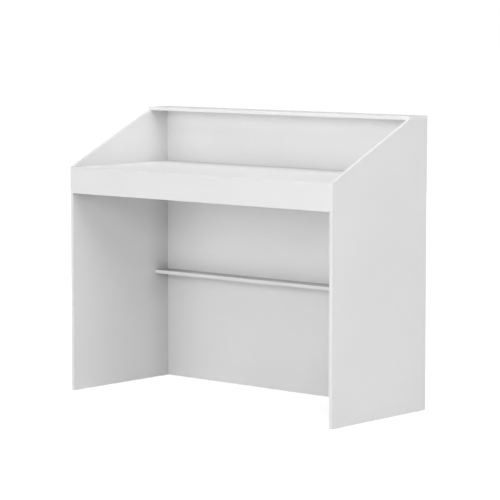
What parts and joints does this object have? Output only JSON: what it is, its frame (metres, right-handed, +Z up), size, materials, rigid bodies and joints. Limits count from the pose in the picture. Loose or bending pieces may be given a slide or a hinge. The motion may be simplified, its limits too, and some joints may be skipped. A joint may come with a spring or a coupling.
{
  "type": "reception desk",
  "caption": "White panel reception desk with sloping ends, a worktop over an apron and open knee space, a shelf rail, and a raised counter ledge for visitors.",
  "frame": {"origin": "on the floor, under the middle of the desk's box", "axes": "+Z up, +X along the desk to the staff's right, +Y from the staff side to the visitors' side"},
  "size_m": [1.2, 0.5, 1],
  "materials": {
    "white_board": "white melamine-faced particle board, smooth satin",
    "edge_band": "white plastic edge banding, satin, rounded arrises",
    "cam_zinc": "die-cast zinc alloy, dull",
    "bolt_steel": "zinc-plated steel",
    "cap_plastic": "white moulded plastic",
    "dowel_beech": "plain beech",
    "glide_plastic": "pale nylon",
    "nail_steel": "bright drawn steel"
  },
  "bodies": {
    "root": {"apron": "white_board", "apron_cam_locks": "cam_zinc", "apron_dowels": "dowel_beech", "apron_edge_bands": "edge_band", "counter_ledge": "white_board", "counter_ledge_cam_bolts": "bolt_steel", "counter_ledge_edge_bands": "edge_band", "front_panel": "white_board", "front_panel_cam_bolts": "bolt_steel", "front_panel_cam_caps": "cap_plastic", "front_panel_cam_locks": "cam_zinc", "front_panel_dowels": "dowel_beech", "front_panel_edge_bands": "edge_band", "front_panel_glide_nails": "nail_steel", "front_panel_glides": "glide_plastic", "left_side_panel": "white_board", "left_side_panel_cam_bolts": "bolt_steel", "left_side_panel_cam_caps": "cap_plastic", "left_side_panel_cam_locks": "cam_zinc", "left_side_panel_dowels": "dowel_beech", "left_side_panel_edge_bands": "edge_band", "left_side_panel_glide_nails": "nail_steel", "left_side_panel_glides": "glide_plastic", "right_side_panel": "white_board", "right_side_panel_cam_bolts": "bolt_steel", "right_side_panel_cam_caps": "cap_plastic", "right_side_panel_cam_locks": "cam_zinc", "right_side_panel_dowels": "dowel_beech", "right_side_panel_edge_bands": "edge_band", "right_side_panel_glide_nails": "nail_steel", "right_side_panel_glides": "glide_plastic", "shelf_rail": "white_board", "shelf_rail_cam_locks": "cam_zinc", "shelf_rail_dowels": "dowel_beech", "shelf_rail_edge_bands": "edge_band", "worktop": "white_board", "worktop_cam_bolts": "bolt_steel", "worktop_cam_locks": "cam_zinc", "worktop_dowels": "dowel_beech", "worktop_edge_bands": "edge_band"}
  },
  "joints": []
}
